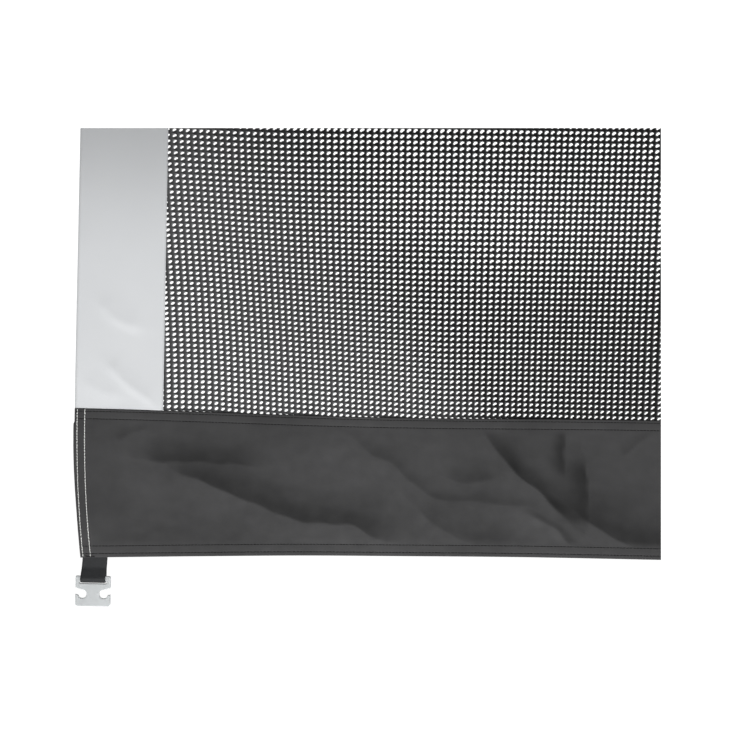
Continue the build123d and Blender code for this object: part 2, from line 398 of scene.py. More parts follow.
def skirt_relief(x, z):
    """The skirt's own shape over the hanging waves: seams, hems, creases and small crumples."""
    top, low, side = skirt_insets(x, z)
    inside = smooth((top - 9 * MM) / (12 * MM)) * smooth((low - 9 * MM) / (12 * MM))
    swell = 0.24 * MM * ripples(x, z, 5, 7, 0.08, 0.20, 1.4)
    crumple = 0.07 * MM * ripples(x, z, 6, 8, 0.014, 0.040, 1.5)
    pucker = 0.07 * MM * ripples(x, z, 7, 6, 0.006, 0.012, 0.25)
    near_seam = bell(top, 13 * MM, 5 * MM) + bell(low, 13 * MM, 5 * MM)
    side_step = 0.15 * MM * smooth((SIDE_PLY - side) / (0.9 * MM))
    hem_step = 0.12 * MM * smooth((HEM_PLY - low) / (0.9 * MM))
    out = inside * (swell + crumple) + skirt_creases(x, z)[0] + pucker * near_seam + side_step + hem_step
    return channel(top) + channel(low, HEM_ROWS) + sum(groove(side - row) for row in ROWS) - out


def skirt_front(x, z):
    """Y of the skirt's front face."""
    return SKIRT_FRONT + hang(x, z) + skirt_relief(x, z)


def panel_behind(x, z):
    """Y of the back of the mesh, or of a strip beside it."""
    return np.where(np.abs(x) < MESH_HI.x, MESH_MIDDLE + MESH_BACK, STRIP_BACK) + hang(x, z)


def hem_behind(x, z):
    """Y of the back of a turned hem, or of the webbing sewn to it."""
    on_web = (np.abs(np.abs(x) - TAB_X) < WEB_WIDTH / 2) & (z < ANCHOR_TOP)
    return np.where(on_web, TAB_Y + WEB_PLY, skirt_front(x, z) + (CLOTH_SHARE + 1) * SKIRT_PLY)


def side_behind(x, z):
    """Y of the back of the skirt's side hem, and of the strip above it."""
    return np.where(z > STRIP_LOW, panel_behind(x, z), hem_behind(x, z))


def skirt_cloth():
    """The whole skirt, from its sewn top margin to its turned hem."""
    height = SEAM - HEM
    fine, coarse, wide = 0.75 * MM, 2.1 * MM, 2.625 * MM
    edge = 15 * MM
    downs = spaced((0, edge, fine), (edge, height - edge, coarse), (height - edge, height, fine)) / height
    inner = HALF - edge
    acrosses = spaced((-HALF, -inner, fine), (-inner, inner, wide), (inner, HALF, fine))
    t, s = np.meshgrid(downs, acrosses, indexing="ij")
    z = seam_z(s) * (1 - t) + hem_z(s) * t
    x = s * side_x(z) / HALF
    _, low, side = skirt_insets(x, z)
    bulge = edge_bulge(z) * smooth(1 - side / (4 * MM))
    front = np.stack([x + np.sign(x) * bulge, skirt_front(x, z), z], axis=-1)
    below_fold = smooth((FOLD + 1 * MM - z) / (2 * MM))
    side_hem = smooth((SIDE_PLY - side) / (0.8 * MM)) * below_fold
    hems = np.maximum(smooth((HEM_PLY - low) / (0.8 * MM)), side_hem)
    made = shell("skirt_cloth", front, SKIRT_PLY * (CLOTH_SHARE + hems))
    # the creases' painted shade, for the material to darken the cloth with
    point_value(made, "dull", np.tile(skirt_creases(x, z)[1].ravel(), 2))
    return made


# -------- border and mesh

BORDER_STEP = 3 * MM
BAND_EDGE = 14 * MM  # height of the finer stretch, around the band's twin rows

# Creases of the strips: the side, then as for the skirt, but from its corner on that side, and without
# the painted shade
STRIP_CREASES = [
    ("left", [(22, 258), (40, 240), (66, 230)], 0.9, 8, 6),
    ("left", [(30, 196), (52, 175), (80, 152)], 1.2, 7, 5),
    ("left", [(8, 176), (26, 166), (48, 164)], 0.6, 9, 7),
    ("right", [(30, 330), (48, 300), (52, 262)], 1.0, 9, 7),
]


def strip_front(x, z):
    """Y of a side strip's front face, with a few soft creases."""
    faint = sum(crease(-SIDES[side] * x, z, *shape)[0] for side, *shape in STRIP_CREASES)
    return STRIP_FRONT + hang(x, z) - faint - 0.12 * MM * ripples(x, z, 21, 6, 0.05, 0.15, 1.2)


def flat_cloth(name, xs, zs, front_y, thickness):
    """A closed cloth over an upright grid of places."""
    z, x = np.meshgrid(zs, xs, indexing="ij")
    return shell(name, np.stack([x, front_y(x, z), z], axis=-1), thickness)


def side_strip(side):
    xs = np.sort(SIDES[side] * spaced((abs(STRIP_INNER), HALF, BORDER_STEP)))
    zs = spaced((STRIP_TOP, STRIP_LOW, BORDER_STEP))
    return flat_cloth(f"{side}_strip_cloth", xs, zs, strip_front, STRIP_BACK - STRIP_FRONT)


def band_front(x, z):
    """Y of the top band's front face, flat where the welt's tape clamps it."""
    free = smooth((TAPE_LOW - z) / (20 * MM))
    crumple = 0.10 * MM * ripples(x, z, 31, 6, 0.04, 0.12, 1.2)
    return BAND_FRONT + hang(x, z) + channel(z - BAND_LOW) - free * crumple


def top_band():
    xs = spaced((-HALF, HALF, BORDER_STEP))
    finer = BAND_LOW + BAND_EDGE
    zs = spaced((BAND_TOP, finer, BORDER_STEP), (finer, BAND_LOW, BORDER_STEP / 4))
    return flat_cloth("top_band_cloth", xs, zs, band_front, BAND_BACK - BAND_FRONT)


COLUMN_PITCH = 6.65 * MM
ROW_PITCH = 5.92 * MM
EVEN_HEIGHT = -0.40  # where the rows are laid out, before they spread up and down
MESH_BANDS = 6
HOLE_LONG = 0.352  # half-lengths of a hole's two axes, as shares of the cell's width and height
HOLE_SHORT = 0.297
HOLE_SLANT = math.radians(32)
SLIVER = 0.03 * MM**2  # faces smaller than this are left out at the cut edges

# Eight points of a hole's edge: how far a slim or loose hole is drawn in there, how far it is drawn in
# further under the painted highlight, and how strong that painted highlight on the rim is
HOLE_NOTCH = np.array([0.05, 0, 0, 0, 0, 0, 0.12, 0.52])
HOLE_VEIL = np.array([0, 0, 0.14, 0.28, 0.28, 0.12, 0, 0])
RIM_GLINT = np.array([0.35, 0.3, 0.8, 1.0, 1.0, 0.85, 0.4, 0.35])
RIM_GLINT_BEHIND = 0.5  # the painted highlight's share on the back

# Stretches where the upright cords lean: by how many degrees, the middle, its share of a drift towards +X
# on the way down, and the width. They lean most at one height.
LEAN_HEIGHT = -0.46
LEANS = [(5.4, -0.50, 1.0, 0.17), (-1.8, -0.03, 0.0, 0.15), (1.5, 0.22, 0.0, 0.14), (-4.2, 0.52, -0.7, 0.16)]

# Patches where the holes are larger or smaller: by how much, then middle and width, down and outwards
OPENINGS = [
    (-0.09, -0.43, 0.13, 0.49, 0.12),
    (-0.10, -0.55, 0.09, 0.36, 0.11),
    (0.06, -0.38, 0.06, 0.34, 0.12),
    (0.07, -0.46, 0.05, 0.17, 0.10),
]


def cord_lean(x, z):
    """How much the upright cords lean towards +X on their way down, as a slope."""
    drift = 0.62 * (LEAN_HEIGHT - z)
    degrees = sum(lean * bell(x, middle + share * drift, width) for lean, middle, share, width in LEANS)
    return np.tan(np.radians(degrees * bell(z, LEAN_HEIGHT, 0.20)))


def tightness(x, z):
    """0 where the knit hangs relaxed, 1 where the sewing has drawn its rows together."""
    halfway = -0.427 - 0.47 * np.clip(0.475 - np.abs(x), 0, 0.24)
    return smooth((halfway - z) / 0.22 + 0.5)


def net_shade(x, z, cord):
    """How pale the knit is, against its base colour: the upright cords are paler than the bars, and all is
    paler beyond a slanting line where it is drawn towards the sides. The paler band across its darker part
    at one height is a painted sheen."""
    beyond = np.abs(x) - 0.42 - 0.83 * (z + 0.387)
    blur = 0.10 + 0.5 * np.clip(z + 0.62, 0, 0.25)
    pale = smooth(beyond / blur + 0.5) * (0.72 + 0.28 * smooth(beyond / 0.2))
    # the bell at one height in the darker part is a painted sheen
    dark = 0.18 + 0.17 * bell(z, -0.455, 0.045) + 0.11 * smooth((z + 0.5) / 0.08)
    palest = 1 + smooth((z + 0.53) / 0.2)
    bars = 0.06 + 0.30 * pale
    return (dark + (palest - dark) * pale) * (bars + (1 - bars) * cord)


def openness(x, z):
    """How far the holes open, against their usual size: less low down in the middle, and in patches."""
    size = 1 - 0.20 * smooth((-0.44 - z) / 0.14) * bell(x, 0.0, 0.26)
    for change, height, depth, out, width in OPENINGS:
        size += change * bell(z, height, depth) * bell(np.abs(x), out, width)
    return size


def slimness(x):
    """0 beside the border, where the holes are plain ovals, 1 where they are long, slanted and notched."""
    return smooth((0.42 - np.abs(x)) / 0.16)


def knit_lattice():
    """Corners of the knit's cells: rows that sag between the sides and the middle, and cords that lean."""
    reach = MESH_HI.x + 0.05
    x = [0.0]
    while x[-1] < reach:
        x.append(x[-1] + COLUMN_PITCH - 0.55 * MM * bell(x[-1], HALF + STRIP_INNER, 0.075))
    x = np.array([-p for p in x[:0:-1]] + x)
    side_rise = 3.7 * MM * bell(np.abs(x), 0.53, 0.09)
    z = EVEN_HEIGHT + side_rise + 2.3 * MM * bell(x, 0.0, 0.2)

    def march(x, z, way):
        """Rows laid out one after another, downwards for 1 and upwards for -1."""
        rows = []
        while (z.max() > MESH_LO.z if way > 0 else z.min() < MESH_HI.z):
            drawn = 0.75 - 0.2 * bell(x, 0.0, 0.2)
            step = (ROW_PITCH - drawn * MM * tightness(x, z)) * way
            x, z = x + cord_lean(x, z) * step, z - step
            rows.append((x, z))
        return rows

    below, above = march(x, z, 1), march(x, z, -1)
    rows = above[::-1] + [(x, z)] + below
    return np.array([row[0] for row in rows]), np.array([row[1] for row in rows])


def mesh_band(number, xs, zs, rng):
    """One upright band of the knitted mesh: round cords up, flatter bars across, a slanted hole in each
    cell. Also its flat size, and the area of its cloth less the holes."""
    rows, cols = xs.shape[0] - 1, xs.shape[1] - 1

    def mids(grid):
        """Middles of a grid's uprights, of its bars and of its cells."""
        upright = (grid[1:] + grid[:-1]) / 2
        bar = (grid[:, 1:] + grid[:, :-1]) / 2
        return upright, bar, (bar[1:] + bar[:-1]) / 2

    upright_x, bar_x, mid_x = mids(xs)
    upright_z, bar_z, mid_z = mids(zs)
    wide = np.diff(upright_x, axis=1)
    tall = -np.diff(bar_z, axis=0)
    tight = tightness(mid_x, mid_z)[..., None]
    gape = openness(mid_x, mid_z)[..., None]
    slim = slimness(mid_x)[..., None]

    def vary(low, high):
        return rng.uniform(low, high, (rows, cols, 1))

    half_long = gape**0.5 * (1 + 0.13 * slim) * HOLE_LONG * wide[..., None] * vary(0.96, 1.04)
    half_short = gape**1.5 * (1 + 0.02 * slim) * HOLE_SHORT * tall[..., None] * vary(0.94, 1.06)
    lean = HOLE_SLANT + 0.07 * slim + vary(-0.12, 0.12)
    turn = (np.arange(8) - 1) * math.pi / 4
    pinch = 1 - np.maximum(1 - tight, slim) * HOLE_NOTCH * vary(0.7, 1.3)
    pinch = pinch - (1 - 0.4 * slim) * HOLE_VEIL
    along, across = half_long * np.cos(turn) * pinch, half_short * np.sin(turn) * pinch
    ring_x = mid_x[..., None] + along * np.cos(lean) - across * np.sin(lean)
    ring_z = mid_z[..., None] + along * np.sin(lean) + across * np.cos(lean)

    # each kind of point: places, front and back from the mesh's middle in mm, share of cord, painted
    # highlight
    kinds = [
        (xs, zs, -0.46, 0.40, 0.95, 0.0),
        (upright_x, upright_z, -0.48, 0.38, 0.95, 0.0),
        (bar_x, bar_z, -0.16, 0.40, 0.0, 0.0),
        (ring_x, ring_z, -0.22, 0.22, 0.4, RIM_GLINT),
    ]
    x, z, front, back, cord, fuzz = (
        np.concatenate([np.broadcast_to(kind[n], kind[0].shape).ravel() for kind in kinds]) for n in range(6)
    )
    starts = np.cumsum([0] + [kind[0].size for kind in kinds])
    corner, upright, bar, ring = (
        start + np.arange(kind[0].size).reshape(kind[0].shape) for start, kind in zip(starts, kinds)
    )
    right = [upright[:, 1:], corner[:-1, 1:], bar[:-1], corner[:-1, :-1]]
    left = [upright[:, :-1], corner[1:, :-1], bar[1:], corner[1:, 1:]]
    around = np.stack(right + left, axis=-1)
    face = np.stack([ring, around, np.roll(around, -1, -1), np.roll(ring, -1, -1)], axis=-1)

    # the panel is cut straight through the cells at its edges
    spare = 0.3 * ROW_PITCH
    kept = (mid_x + wide / 2 > MESH_LO.x + spare) & (mid_x - wide / 2 < MESH_HI.x - spare)
    kept &= (mid_z + tall / 2 > MESH_LO.z + spare) & (mid_z - tall / 2 < MESH_HI.z - spare)
    x, z = np.clip(x, MESH_LO.x, MESH_HI.x), np.clip(z, MESH_LO.z, MESH_HI.z)
    face = face[kept].reshape(-1, 4)
    size = np.abs(inside_ring(x[face], z[face]))
    used, face = np.unique(face[size > SLIVER], return_inverse=True)
    face = face.reshape(-1, 4)
    total = len(used)
    x, z, front, back, cord, fuzz = (values[used] for values in (x, z, front, back, cord, fuzz))

    tail, head = face.ravel(), np.roll(face, -1, axis=1).ravel()
    open_edge = ~np.isin(tail * total + head, head * total + tail)
    tail, head = tail[open_edge], head[open_edge]
    wall = np.stack([head, tail, tail + total, head + total], axis=-1)
    quads = np.concatenate([face, face[:, ::-1] + total, wall])

    y = MESH_MIDDLE + hang(x, z)
    points = np.concatenate([np.stack([x, y + offset * MM, z], axis=1) for offset in (front, back)])
    made = mesh_object(f"mesh_band_{number}", points, quads)
    point_value(made, "shade", np.tile(net_shade(x, z, cord), 2))
    # painted highlight on the holes' rims, brightest at their upper left
    point_value(made, "fuzz", np.concatenate([fuzz, RIM_GLINT_BEHIND * fuzz]))
    cells, height = wide * tall * kept, MESH_HI.z - MESH_LO.z
    net = float((cells - inside_ring(along, across) * kept).sum())
    return made, (float(cells.sum()) / height, height), net


# -------- welt

TAPE_PLY = 0.48 * MM
TAPE_LEAVES = math.radians(38)  # where the fold leaves the cord, from straight down
FLAG_ROW = 4.0 * MM  # from the flag's lower edge up to its stitches


def flag_y(x, z):
    """Y of the front flag's front face: stitched down, and lifting a little at its cut edge."""
    above = z - TAPE_LOW
    lift = 0.10 * MM * bell(above, 0.0, 1.6 * MM) * (1 + 0.5 * ripples(x, z, 41, 5, 0.010, 0.03, 0.3))
    dent = groove(above - FLAG_ROW, 0.12 * MM, 0.8 * MM)
    crumple = 0.03 * MM * ripples(x, z, 42, 6, 0.008, 0.02, 0.6)
    return BAND_FRONT - TAPE_PLY - lift + dent - crumple


def tape_cloth():
    """One strip of tape, folded over the cord and down both faces of the band."""
    radius = TAPE_TOP - TAPE_PLY
    turn = np.linspace(math.pi + TAPE_LEAVES, 3 * math.pi - TAPE_LEAVES, 29)
    x = spaced((-TAPE_REACH, TAPE_REACH, 2.5 * MM))[:, None]

    def across(values):
        return np.broadcast_to(values, (len(x), len(values)))

    down = across(spaced((TAPE_LOW, -radius * 1.9, 0.9 * MM)))
    front = flag_y(x, down) + TAPE_PLY
    inner_y = np.concatenate([front, across(radius * np.sin(turn)), -front[:, ::-1]], axis=1)
    inner_z = np.concatenate([down, across(radius * np.cos(turn)), down[:, ::-1]], axis=1)
    relax(inner_y, 3)
    relax(inner_z, 3)
    dy, dz = np.gradient(inner_y, axis=1), np.gradient(inner_z, axis=1)
    size = np.hypot(dy, dz)
    outer_y, outer_z = inner_y - dz / size * TAPE_PLY, inner_z + dy / size * TAPE_PLY
    wide = np.broadcast_to(x, inner_y.shape)
    inner = np.stack([wide, inner_y, inner_z], axis=-1)
    outer = np.stack([wide, outer_y, outer_z], axis=-1)
    round_the_fold = float(size[0].sum())
    return closed("keder_tape_cloth", outer, inner), (2 * TAPE_REACH, round_the_fold)


# -------- thread and webbing


# Sections of a stitch: where along it, how wide against its width, and how far out against its height
STITCH_SECTIONS = [
    (-0.50, 0.6, -0.35),
    (-0.40, 0.9, 0.0),
    (-0.15, 1.0, 0.25),
    (0.15, 1.0, 0.25),
    (0.40, 0.9, 0.0),
    (0.50, 0.6, -0.35),
]
STITCH_SIDES = 6
STITCH_LENGTH = 0.98  # as a share of the pitch


def stitch_quads(base):
    """The sides and the two ends of one stitch, whose points start at base."""
    last = base + STITCH_SIDES * (len(STITCH_SECTIONS) - 1)
    quads = []
    for start in range(base, last, STITCH_SIDES):
        for i in range(STITCH_SIDES):
            n = (i + 1) % STITCH_SIDES
            quads.append([start + i, start + n, start + STITCH_SIDES + n, start + STITCH_SIDES + i])
    ends = [[base + 3, base + 2, base + 1, base], [base + 5, base + 4, base + 3, base]]
    return quads + ends + [[last, last + 1, last + 2, last + 3], [last, last + 3, last + 4, last + 5]]


def stitches(name, lines, pitch, width, height, behind=()):
    """Rows of separate stitches, along lines of points on the cloth's front face and behind it."""
    ring = np.arange(STITCH_SIDES) * 2 * math.pi / STITCH_SIDES
    rng = np.random.default_rng(len(name))
    points, quads = [], []
    for line, outward in [(line, -1) for line in lines] + [(line, 1) for line in behind]:
        travelled = distances(line)
        number = max(1, int(travelled[-1] / pitch))
        for k in range(number):
            middle = (k + 0.5 + rng.uniform(-0.04, 0.04)) * pitch
            places = middle + np.array([-0.5, 0.5]) * pitch * STITCH_LENGTH
            ends = np.stack([np.interp(places, travelled, line[:, i]) for i in range(3)], axis=1)
            along = ends[1] - ends[0]
            across = np.cross(along / np.linalg.norm(along), [0, 1, 0])
            across /= np.linalg.norm(across)
            lean = across * rng.uniform(-0.12, 0.12) * width
            quads += stitch_quads(len(points) * STITCH_SIDES)
            for place, swell, out in STITCH_SECTIONS:
                centre = ends.mean(0) + along * place + lean * place * 4
                centre = centre + np.array([0, 1, 0]) * outward * out * height
                wide = np.outer(np.cos(ring) * swell * width / 2, across)
                deep = np.outer(np.sin(ring) * swell * height / 2, [0, -1, 0])
                points.append(centre + wide + deep)
    return mesh_object(name, np.concatenate(points), np.array(quads))


def row_across(z_of_x, y_of, reach, step=2.0 * MM):
    """A stitch line across the screen."""
    x = spaced((-reach, reach, step))
    z = z_of_x(x)
    return np.stack([x, y_of(x, z), z], axis=1)


def rows_across(z_of, rows, reach, front, behind):
    """Stitch lines across the screen, on a front and behind it."""
    return [[row_across(lambda x: z_of(x, row), y_of, reach) for row in rows] for y_of in (front, behind)]


def row_down(x_of_z, y_of, top, low, step=1.5 * MM):
    """A stitch line down the screen."""
    z = spaced((top, low, step))
    x = x_of_z(z)
    return np.stack([x, y_of(x, z), z], axis=1)


EYE_RADIUS = 3.2 * MM  # of the open eye round the hook's bar
EYE_SLOPE = math.asin(EYE_RADIUS / (11.0 * MM))  # half the angle at which the two layers meet above it
WEB_GAP = 0.05 * MM  # from the middle to each layer
WEB_SKEW = 1.35 * MM  # how far the webbing leans inwards, from the bar up to its fold
WEB_DRAWN = 0.01  # and the share by which it is narrower up there
WEB_RIBS = 13


def webbing_path():
    """The webbing's middle line in (y, z), from behind the hem, round the bar and back up."""
    radius = EYE_RADIUS + WEB_PLY / 2
    half = WEB_PLY / 2 + WEB_GAP
    meet = BAR_Z + radius / math.sin(EYE_SLOPE) - half / math.tan(EYE_SLOPE)
    front = [(TAB_Y - half, z) for z in spaced((ANCHOR_TOP, meet, 0.8 * MM))]
    spread = radius * math.cos(EYE_SLOPE) - half
    drop = BAR_Z + radius * math.sin(EYE_SLOPE) - meet
    front += [(TAB_Y - half - spread * t, meet + drop * t) for t in np.linspace(0.1, 0.95, 9)]
    turn = np.linspace(math.pi - EYE_SLOPE, 2 * math.pi + EYE_SLOPE, 25)
    bowl = [(TAB_Y + radius * math.cos(a), BAR_Z + radius * math.sin(a)) for a in turn]
    back = [(2 * TAB_Y - y, z) for y, z in reversed(front)]
    return np.array(front + bowl + back)


def webbing(side):
    """Doubled webbing: sewn behind the hem, open round the hook's bar, and a little askew."""
    path = webbing_path()
    relax(path.T, 2)
    tangent = np.gradient(path, axis=0)
    tangent /= np.linalg.norm(tangent, axis=1)[:, None]
    across = np.linspace(-0.5, 0.5, 2 * WEB_RIBS + 1)
    edge = np.clip(1 - (np.abs(across) * 2) ** 16, 0, 1) ** 0.5 * 0.8 + 0.2
    ribs = 1 + 0.06 * np.cos(across * 2 * np.pi * WEB_RIBS)
    up = np.clip((path[:, 1:] - BAR_Z) / (TAB_FLEX - BAR_Z), 0, 1)
    x = SIDES[side] * (TAB_X - WEB_SKEW * up) + across * WEB_WIDTH * (1 - WEB_DRAWN * up)
    faces = []
    for outward in (1, -1):
        lift = outward * WEB_PLY / 2 * edge * ribs
        y = path[:, :1] - tangent[:, 1:] * lift
        z = path[:, 1:] + tangent[:, :1] * lift
        faces.append(np.stack([x, y, z], axis=-1))
    rows, cols = x.shape
    made = closed(f"{side}_webbing", *faces)
    point_value(made, "along", np.tile(np.repeat(distances(path), cols), 2))
    point_value(made, "across", np.tile(np.tile(across * WEB_WIDTH, rows), 2))
    return made


# -------- materials


class Look:
    """A node material with a short way to add nodes."""

    def __init__(self, name, color, roughness, **sockets):
        self.material = bpy.data.materials.new(name)
        self.material.use_nodes = True
        self.tree = self.material.node_tree
        self.shader = self.tree.nodes["Principled BSDF"]
        self.shader.inputs["Base Color"].default_value = (*color, 1)
        self.shader.inputs["Roughness"].default_value = roughness
        for socket, value in sockets.items():
            self.shader.inputs[socket.replace("_", " ")].default_value = value
        self.color = color
        self.place = self.node("ShaderNodeTexCoord").outputs["Object"]
        self.height = None

    def node(self, kind, inputs=(), **settings):
        made = self.tree.nodes.new(kind)
        for key, value in settings.items():
            setattr(made, key, value)
        for key, value in dict(inputs).items():
            if isinstance(value, bpy.types.NodeSocket):
                self.tree.links.new(value, made.inputs[key])
            else:
                made.inputs[key].default_value = value
        return made

    def link(self, output, socket):
        self.tree.links.new(output, self.shader.inputs[socket])

    def math(self, operation, a, b=0.0, c=0.0):
        return self.node("ShaderNodeMath", {0: a, 1: b, 2: c}, operation=operation).outputs[0]

    def noise(self, scale, detail=3.0, stretch=(1, 1, 1), seed=0.0):
        inputs = {"Vector": self.place, "Scale": stretch, "Location": (seed,) * 3}
        mapped = self.node("ShaderNodeMapping", inputs)
        inputs = {"Vector": mapped.outputs[0], "Scale": scale, "Detail": detail}
        return self.node("ShaderNodeTexNoise", inputs).outputs["Fac"]

    def waves(self, period, direction):
        """Bands of a sine; the texture turns by 20 radians in a metre for each unit of its scale."""
        inputs = {"Vector": self.place, "Scale": math.pi / 10 / period, "Distortion": 0.0}
        return self.node("ShaderNodeTexWave", inputs, bands_direction=direction).outputs["Fac"]

    def stored(self, name):
        """The numbers that point_value left on the mesh."""
        return self.node("ShaderNodeAttribute", attribute_name=name).outputs["Fac"]

    def spread(self, value, low, high):
        """A value of about 0.3 to 0.7 mapped to low and high."""
        inputs = {"Value": value, "From Min": 0.3, "From Max": 0.7, "To Min": low, "To Max": high}
        return self.node("ShaderNodeMapRange", inputs).outputs[0]

    def tint(self, factor, dark, light):
        """The base colour, between dark and light shares of itself."""
        ends = [(*(c * share for c in self.color), 1) for share in (dark, light)]
        inputs = {"Factor": factor, "A": ends[0], "B": ends[1]}
        return self.node("ShaderNodeMix", inputs, data_type="RGBA", clamp_factor=False).outputs["Result"]

    def bump(self, height, distance, strength=1.0):
        """Adds relief; each call lies on the last."""
        inputs = {"Height": height, "Distance": distance, "Strength": strength}
        if self.height is not None:
            inputs["Normal"] = self.height
        self.height = self.node("ShaderNodeBump", inputs).outputs[0]
        self.link(self.height, "Normal")


def weave(look, period, depth):
    """Plain weave: warp and weft ribs that cross."""
    warp = look.waves(period, "X")
    weft = look.waves(period, "Z")
    look.bump(look.math("MULTIPLY", warp, weft), depth, 0.5)


def coated_light():
    look = Look("coated_light_cloth", (0.625, 0.638, 0.652), 0.42, Sheen_Weight=0.1)
    cloud = look.noise(9.0, 4.0, (1, 1, 0.6))
    look.link(look.tint(look.spread(cloud, 0, 1), 0.97, 1.02), "Base Color")
    look.link(look.spread(look.noise(60.0), 0.36, 0.50), "Roughness")
    look.bump(look.noise(140.0), 0.06 * MM, 0.5)
    weave(look, 0.6 * MM, 0.03 * MM)
    return look.material


def coated_dark():
    look = Look("coated_dark_cloth", (0.0415, 0.0412, 0.0421), 0.6, Specular_IOR_Level=0.2)
    # the base colour carries the creases' painted shade, times random mottling in tone
    dull = look.stored("dull")
    cloud = look.spread(look.noise(17.0, 5.0, (1, 1, 1.2), 3.1), 0.83, 1.12)
    rub = look.spread(look.noise(75.0, 4.0, seed=1.7), 0.95, 1.05)
    kept = look.math("MULTIPLY", look.math("SUBTRACT", 1.0, dull), look.math("MULTIPLY", cloud, rub))
    look.link(look.tint(kept, 0.0, 1.0), "Base Color")
    look.link(look.spread(look.noise(90.0), 0.54, 0.66), "Roughness")
    look.bump(look.noise(260.0, 4.0, seed=5.0), 0.10 * MM, 0.5)
    weave(look, 0.7 * MM, 0.05 * MM)
    return look.material


def knitted():
    look = Look("coated_mesh", (0.054, 0.0545, 0.056), 0.65, Specular_IOR_Level=0.12)
    # painted highlight on the holes' rims: the rim value, cubed so that it stays near the edge, adds to the
    # shade
    pale = look.math("POWER", look.stored("fuzz"), 3.0)
    shade = look.math("MULTIPLY_ADD", pale, 8.0, look.stored("shade"))
    fleck = look.spread(look.noise(700.0, 2.0), 0.85, 1.15)
    look.link(look.tint(look.math("MULTIPLY", shade, fleck), 0.0, 1.0), "Base Color")
    look.bump(look.noise(900.0, stretch=(1, 1, 0.5)), 0.15 * MM, 0.7)
    return look.material


def thread(name, color, sheen, specular):
    look = Look(name, color, 0.7, Sheen_Weight=sheen, Specular_IOR_Level=specular)
    ply = look.noise(1400.0, 2.0)
    look.link(look.tint(look.spread(ply, 0, 1), 0.72, 1.12), "Base Color")
    look.bump(ply, 0.10 * MM, 0.8)
    return look.material


def ribbed_webbing():
    look = Look("ribbed_webbing", (0.010, 0.011, 0.0125), 0.6, Specular_IOR_Level=0.35)
    rib = look.math("SINE", look.math("MULTIPLY", look.stored("along"), 2 * math.pi / (1.1 * MM)))
    end = look.math("SINE", look.math("MULTIPLY", look.stored("across"), 2 * math.pi / (1.9 * MM)))
    knit = look.math("MULTIPLY_ADD", look.math("MULTIPLY", rib, end), 0.5, 0.5)
    fleck = look.spread(look.noise(500.0), 0, 1)
    look.link(look.tint(fleck, 0.8, 1.25), "Base Color")
    look.bump(knit, 0.18 * MM, 0.8)
    return look.material


def moulded():
    look = Look(
        "moulded_translucent", (0.475, 0.494, 0.50), 0.32,
        Subsurface_Weight=0.25, Subsurface_Scale=4 * MM, Subsurface_Radius=(1, 1, 1),
    )
    look.link(look.tint(look.spread(look.noise(45.0), 0, 1), 0.95, 1.03), "Base Color")
    look.link(look.spread(look.noise(220.0), 0.28, 0.40), "Roughness")
    look.bump(look.noise(320.0), 0.06 * MM, 0.5)
    return look.material


def welt_tape():
    look = Look("welt_tape", (0.58, 0.59, 0.61), 0.5, Sheen_Weight=0.15)
    look.link(look.tint(look.spread(look.noise(35.0, 4.0), 0, 1), 0.93, 1.03), "Base Color")
    look.bump(look.noise(300.0), 0.10 * MM, 0.5)
    weave(look, 0.5 * MM, 0.06 * MM)
    return look.material


def welt_cord():
    look = Look("welt_cord", (0.42, 0.42, 0.41), 0.6)
    look.link(look.tint(look.spread(look.noise(150.0), 0, 1), 0.9, 1.05), "Base Color")
    look.bump(look.noise(420.0, 2.0), 0.10 * MM, 0.6)
    return look.material


# -------- making the pieces


def paint(piece, look):
    piece.data.materials.clear()
    piece.data.materials.append(look)


def dress(piece, look):
    paint(piece, look)
    return piece


def put(piece, body, look, node):
    """A finished piece on one body, in place of a CAD node."""
    dress(piece, look)
    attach(piece, body)
    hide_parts(node)
    return piece


LIGHT_CLOTH = coated_light()
DARK_CLOTH = coated_dark()
MESH_LOOK = knitted()
LIGHT_THREAD = thread("light_thread", (0.72, 0.72, 0.70), 0.3, 0.5)
PALE_THREAD = thread("border_thread", (0.60, 0.61, 0.62), 0.3, 0.5)
BLACK_THREAD = thread("black_thread", (0.008, 0.008, 0.008), 0.0, 0.15)
WEBBING_LOOK = ribbed_webbing()
PLASTIC = moulded()
TAPE = welt_tape()
CORD = welt_cord()

ROW_END = 1 * MM  # how far a row of stitches stops short of its cloth's edge

# Pitch, width and height of the stitches
FINE_STITCH = (3.3 * MM, 0.7 * MM, 0.4 * MM)
BAND_STITCH = (3.4 * MM, 0.7 * MM, 0.4 * MM)
WELT_STITCH = (3.4 * MM, 0.7 * MM, 0.45 * MM)
SIDE_STITCH = (2.9 * MM, 0.85 * MM, 0.6 * MM)
TACK_WIDTH = 0.6 * MM


def make_skirt():
    cloth = dress(skirt_cloth(), DARK_CLOTH)
    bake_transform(cloth)
    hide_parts("skirt_heading", "skirt_flap")
    reach = HALF - ROW_END
    front, back = rows_across(lambda x, row: seam_z(x) - row, ROWS, reach, skirt_front, panel_behind)
    made = stitches("skirt_seam_stitches", front, *FINE_STITCH, back)
    put(made, "screen", BLACK_THREAD, "skirt_seam_thread")
    reach = HALF - SIDE_TUCK - ROW_END
    front, back = rows_across(lambda x, row: hem_z(x) + row, HEM_ROWS, reach, skirt_front, hem_behind)
    made = stitches("bottom_hem_stitches", front, *FINE_STITCH, back)
    put(made, "skirt", BLACK_THREAD, "bottom_hem_thread")


def make_side_stitches(side):
    sign = SIDES[side]
    front, back = (
        [row_down(lambda z: sign * (side_x(z) - row), y_of, SEAM - 0.4 * MM, HEM + 0.6 * MM) for row in ROWS]
        for y_of in (skirt_front, side_behind)
    )
    piece = stitches(f"{side}_side_stitches", front, *SIDE_STITCH, back)
    dress(piece, LIGHT_THREAD)
    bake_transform(piece)
    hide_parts(f"{side}_heading_thread", f"{side}_side_hem_thread")


